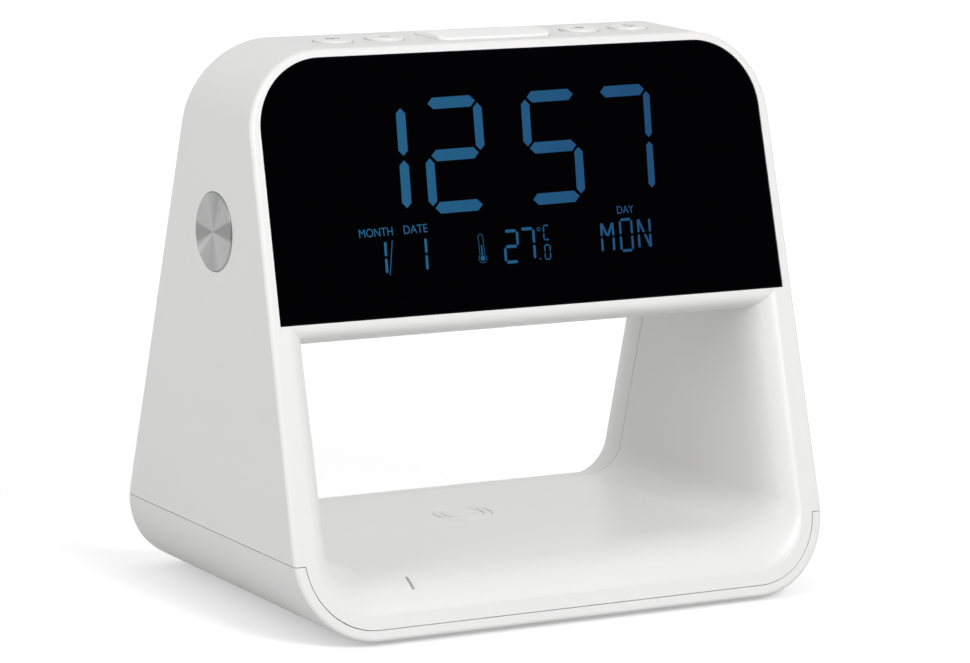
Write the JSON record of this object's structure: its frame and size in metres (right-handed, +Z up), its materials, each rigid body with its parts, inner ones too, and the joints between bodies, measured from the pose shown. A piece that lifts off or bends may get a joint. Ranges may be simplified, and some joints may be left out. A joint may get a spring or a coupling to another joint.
{
  "type": "alarm clock",
  "caption": "Bedside alarm clock with a display head over an open charging tunnel, a snooze bar, round top keys and a disc button in its side.",
  "frame": {"origin": "centre of the footprint, on the surface the feet stand on", "axes": "+X to the right seen from the front, +Y towards the back, +Z up; the display faces -Y"},
  "size_m": [0.1494, 0.102, 0.1398],
  "materials": {
    "white_plastic": "fine satin texture",
    "grey_cover": "fine satin texture",
    "key_plastic": "smooth",
    "black_lens": "polished, smoked",
    "glass": "display glass",
    "clear_plastic": "clear, polished",
    "inner_plastic": "moulded",
    "circuit_board": "solder mask",
    "chip": "moulded",
    "steel": "bright",
    "disc_metal": "spun",
    "copper": "wound wire",
    "ferrite": "sintered",
    "rubber": "matte",
    "paper": "pressed cone",
    "wire": "sleeved lead",
    "ribbon": "film"
  },
  "bodies": {
    "clock": {"main_housing": "white_plastic", "rear_cover": "white_plastic", "bottom_cover": "grey_cover", "rubber_feet": "rubber", "bottom_cover_screws": "steel", "rear_cover_screws": "steel", "display_lens": "black_lens", "lcd_glass": "glass", "light_guide": "clear_plastic", "contact_strip": "rubber", "display_bezel": "inner_plastic", "main_board": "circuit_board", "main_board_chips": "chip", "main_board_plug": "inner_plastic", "display_screws": "steel", "temperature_sensor": "chip", "key_board": "circuit_board", "key_board_screws": "steel", "key_switches": "inner_plastic", "key_ribbon": "ribbon", "disc_switch": "inner_plastic", "disc_board": "circuit_board", "disc_board_screws": "steel", "usb_shell": "steel", "usb_tongue": "inner_plastic", "usb_board": "circuit_board", "speaker_basket": "steel", "speaker_cone": "paper", "speaker_magnet": "steel", "cell_cup": "inner_plastic", "coin_cell": "steel", "cell_contact": "steel", "battery_door": "white_plastic", "battery_door_screw": "steel", "charging_coil": "copper", "ferrite_sheet": "ferrite", "coil_tray": "inner_plastic", "coil_tray_screws": "steel", "charger_board": "circuit_board", "charger_board_screws": "steel", "charger_board_chips": "chip", "charger_board_plug": "inner_plastic", "charge_lamp": "clear_plastic", "light_pipe": "clear_plastic", "leg_wire": "wire"},
    "snooze_bar": {"snooze_bar": "key_plastic", "snooze_bar_plunger": "inner_plastic"},
    "set_key": {"set_key": "key_plastic", "set_key_plunger": "inner_plastic"},
    "minus_key": {"minus_key": "key_plastic", "minus_key_plunger": "inner_plastic"},
    "plus_key": {"plus_key": "key_plastic", "plus_key_plunger": "inner_plastic"},
    "alarm_key": {"alarm_key": "key_plastic", "alarm_key_plunger": "inner_plastic"},
    "disc_button": {"side_disc": "disc_metal", "disc_carrier": "inner_plastic", "disc_plunger": "inner_plastic"}
  },
  "joints": [
    {"name": "snooze_bar_press", "type": "slide", "parent": "clock", "child": "snooze_bar", "axis": [0, 0, -1], "range_m": [0, 0.0005], "stiffness_N_per_m": 2000},
    {"name": "set_key_press", "type": "slide", "parent": "clock", "child": "set_key", "axis": [0, 0, -1], "range_m": [0, 0.0005], "stiffness_N_per_m": 2000},
    {"name": "minus_key_press", "type": "slide", "parent": "clock", "child": "minus_key", "axis": [0, 0, -1], "range_m": [0, 0.0005], "stiffness_N_per_m": 2000},
    {"name": "plus_key_press", "type": "slide", "parent": "clock", "child": "plus_key", "axis": [0, 0, -1], "range_m": [0, 0.0005], "stiffness_N_per_m": 2000},
    {"name": "alarm_key_press", "type": "slide", "parent": "clock", "child": "alarm_key", "axis": [0, 0, -1], "range_m": [0, 0.0005], "stiffness_N_per_m": 2000},
    {"name": "disc_press", "type": "slide", "parent": "clock", "child": "disc_button", "axis": [0.9999, 0, -0.014], "range_m": [0, 0.0005], "stiffness_N_per_m": 2000}
  ]
}
